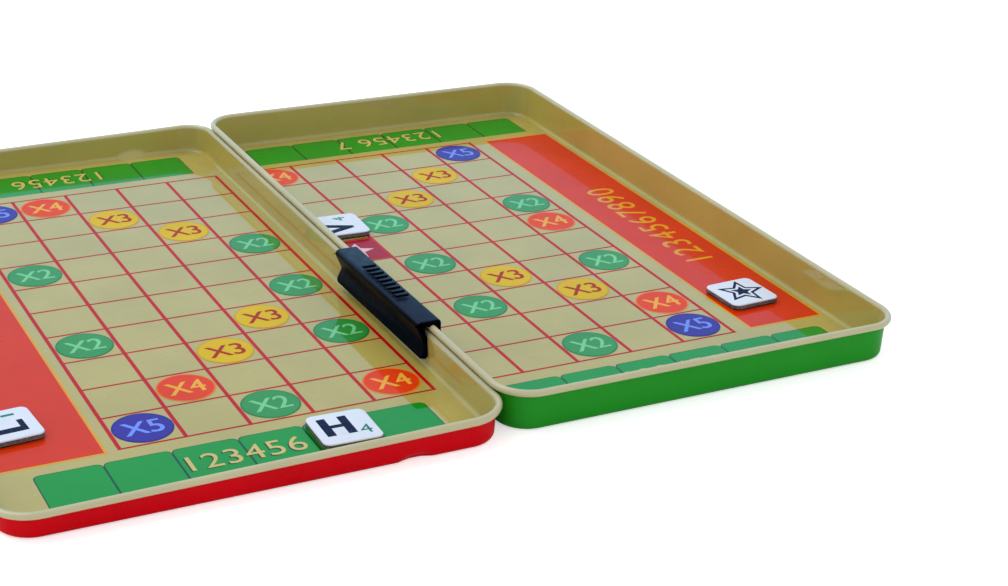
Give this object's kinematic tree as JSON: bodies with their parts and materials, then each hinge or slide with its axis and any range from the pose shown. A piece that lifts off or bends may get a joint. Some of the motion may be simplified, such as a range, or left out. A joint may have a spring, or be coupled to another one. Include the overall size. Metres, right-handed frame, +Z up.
{
  "type": "travel word tile game case",
  "caption": "Open two-tray tinplate travel game case, printed inside as a word board, with rolled rims, a spring clip over the joint and loose magnetic letter tiles.",
  "frame": {"origin": "on the table, under the middle of the open case", "axes": "+X over the deep tray, +Y along the joint and away from the end with the clip, +Z up"},
  "size_m": [0.223, 0.2066, 0.013],
  "materials": {
    "lid_tin": "gloss lacquer",
    "base_tin": "gloss lacquer",
    "clip_plastic": "moulded, semi gloss",
    "tile_card": "printed and coated",
    "tile_magnet": "matte"
  },
  "bodies": {
    "left_tray": {"tray_left": "lid_tin"},
    "right_tray": {"tray_right": "base_tin"},
    "spring_clip": {"clip": "clip_plastic"},
    "tile_h": {"tile_h_card": "tile_card", "tile_h_magnet": "tile_magnet"},
    "tile_l": {"tile_l_card": "tile_card", "tile_l_magnet": "tile_magnet"},
    "tile_v": {"tile_v_card": "tile_card", "tile_v_magnet": "tile_magnet"},
    "tile_star": {"tile_star_card": "tile_card", "tile_star_magnet": "tile_magnet"}
  },
  "joints": [
    {"name": "fold", "type": "hinge", "parent": "left_tray", "child": "right_tray", "pos_m": [0.0011, 0, 0.007], "axis": [0, -1, 0], "range_deg": [0, 180]},
    {"name": "clip_turn", "type": "hinge", "parent": "left_tray", "child": "spring_clip", "pos_m": [-0.03345, 0, 0.007], "axis": [0, -1, 0], "range_deg": [0, 180]},
    {"name": "tile_h_lift", "type": "slide", "parent": "left_tray", "child": "tile_h", "axis": [0, 0, 1], "range_m": [0, 0.007]},
    {"name": "tile_l_lift", "type": "slide", "parent": "left_tray", "child": "tile_l", "axis": [0, 0, 1], "range_m": [0, 0.007]},
    {"name": "tile_v_lift", "type": "slide", "parent": "right_tray", "child": "tile_v", "axis": [0, 0, 1], "range_m": [0, 0.007]},
    {"name": "tile_star_lift", "type": "slide", "parent": "right_tray", "child": "tile_star", "axis": [0, 0, 1], "range_m": [0, 0.007]}
  ],
  "couplings": [
    {"joint": "clip_turn", "follows": "fold", "ratio": 1}
  ]
}
